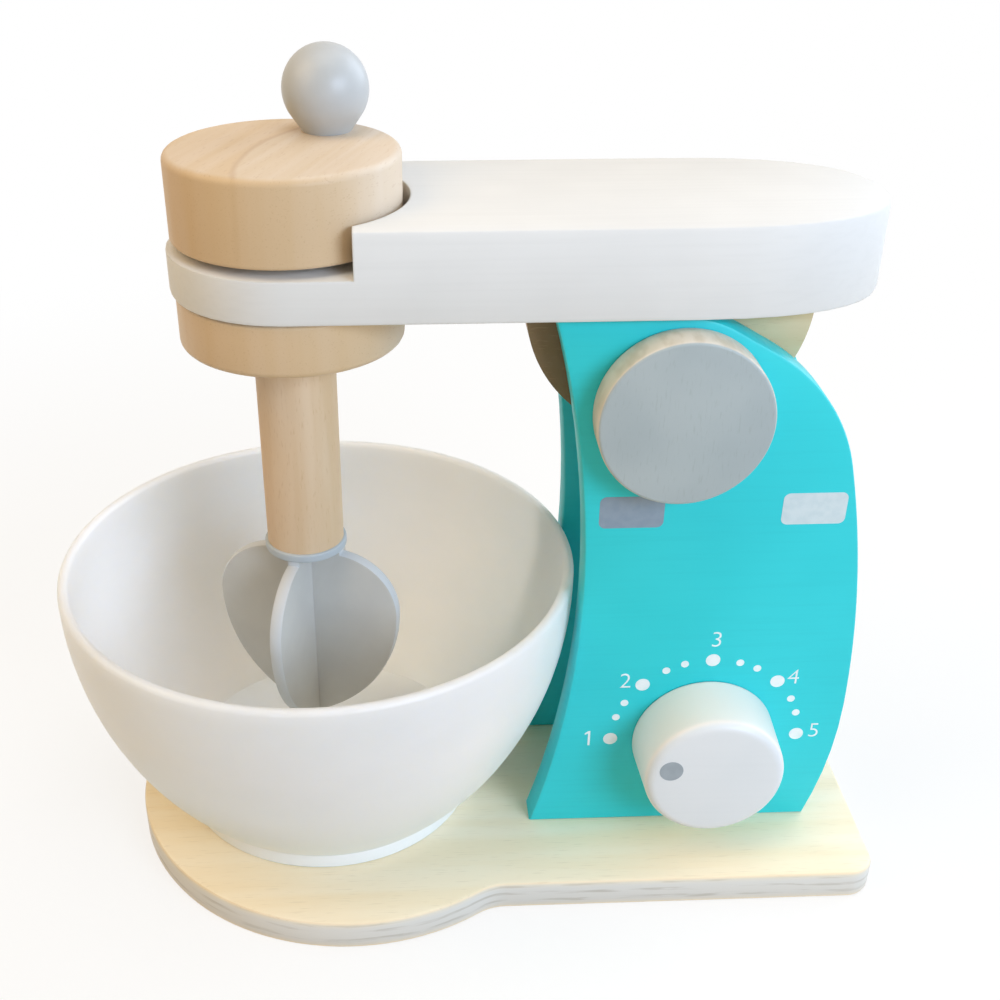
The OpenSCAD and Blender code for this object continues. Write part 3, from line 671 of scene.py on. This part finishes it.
# %% [markdown]
# ### The dial's scale
# The scale is printed round the dial's axle, whose place the frame gives, and the screen slipped a trace to
# the upper right. Five large dots stand 45 degrees apart on a half circle, with a close pair of small ones
# between each two. The numbers stand just outside. Blender's own type gives 2 to 5 as meshes. Its 1 is a
# bare bar, so that one is drawn.

# %% Dial scale
PRINT_SLIP = (0.4 * MM, 0.5 * MM)
SCALE_R = 28 * MM
DOT_STEP = 45
PAIR_TURN = 5.8
BIG_DOT = 2.1 * MM
SMALL_DOT = 1.15 * MM
NUMBER_SIZE = 7.5 * MM
STROKE_THINNER = -0.1 * MM
NUMBER_PLACES = {1: (-34.4, 0.4), 2: (-24.9, 21.1), 3: (0.4, 35.0), 4: (24.4, 21.0), 5: (33.2, 0.9)}
ONE = ((0.32, -2.7), (0.32, 2.7), (-0.2, 2.7), (-1.3, 1.85), (-1.3, 1.25), (-0.32, 1.85), (-0.32, -2.7))

dial_x, _, dial_z = next(j for j in frame["joints"] if j["name"] == "dial_turn")["pos_m"]
scale_x, scale_z = dial_x + PRINT_SLIP[0], dial_z + PRINT_SLIP[1]
panel_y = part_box("front_panel")[0].y
white_ink = ink("white screen ink", ("#E6F1F2", "#F2F8F8"))
marks = [(DOT_STEP * i, BIG_DOT) for i in range(5)]
marks += [(DOT_STEP * (i + 0.5) + side * PAIR_TURN, SMALL_DOT) for i in range(4) for side in (-1, 1)]
dots = []
for angle, radius in marks:
    turn = math.radians(angle)
    dots.append(disc(scale_x + SCALE_R * math.cos(turn), scale_z + SCALE_R * math.sin(turn), radius))
print_mark("scale_dots", dots, panel_y, "base", white_ink)

numbers = bmesh.new()
for number, (out, up) in NUMBER_PLACES.items():
    x, z = scale_x + out * MM, scale_z + up * MM
    if number == 1:
        slab(numbers, [(x + across * MM, z + high * MM) for across, high in ONE], panel_y)
        continue
    type_curve = bpy.data.curves.new("number", "FONT")
    type_curve.body = str(number)
    type_curve.size = NUMBER_SIZE
    type_curve.align_x = "CENTER"
    type_curve.align_y = "CENTER"
    type_curve.extrude = INK
    type_curve.offset = STROKE_THINNER
    letter = bpy.data.objects.new("number", type_curve)
    bpy.context.scene.collection.objects.link(letter)
    letter.location = (x, panel_y, z)
    letter.rotation_euler = (math.pi / 2, 0, 0)
    bpy.context.view_layer.update()
    mesh = bpy.data.meshes.new_from_object(letter)
    mesh.transform(letter.matrix_world)
    numbers.from_mesh(mesh)
    bpy.data.objects.remove(letter)
    bpy.data.meshes.remove(mesh)
numbers.normal_update()
lay("scale_numbers", numbers, "base", white_ink)

# %% [markdown]
# ### Two plain blocks and the dial's pointer
# The two blocks stand level with each other under the pivot disc. The pointer is a grey dot near the rim of
# the dial's face. At rest it points to the 1. It rides on the dial and turns with it.

# %% Blocks and pointer
BLOCK_SIZE = (17.5 * MM, 9.6 * MM, 1.8 * MM)
BLOCK_Z = 119.6 * MM
POINTER_OUT = 13.7 * MM
POINTER_ANGLE = math.radians(163.5)
POINTER_R = 3.4 * MM

blocks = {
    "grey_block": (34.2 * MM, "grey_paint", ink("mauve grey screen ink", ("#8394A4", "#8B9AA9"))),
    "pale_block": (83.7 * MM, "white_paint", ink("pale blue screen ink", ("#CBDCE1", "#D5E3E7"))),
}
for name, (x, slot, finish) in blocks.items():
    print_mark(name, [block(x, BLOCK_Z, *BLOCK_SIZE)], panel_y, "base", finish)

pointer_x = dial_x + POINTER_OUT * math.cos(POINTER_ANGLE)
pointer_z = dial_z + POINTER_OUT * math.sin(POINTER_ANGLE)
dial_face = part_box("dial_knob")[0].y
pad_ink = ink("grey pad ink", ("#98A1A8", "#A0A9AF"))
print_mark("pointer_dot", [disc(pointer_x, pointer_z, POINTER_R)], dial_face, "dial", pad_ink)
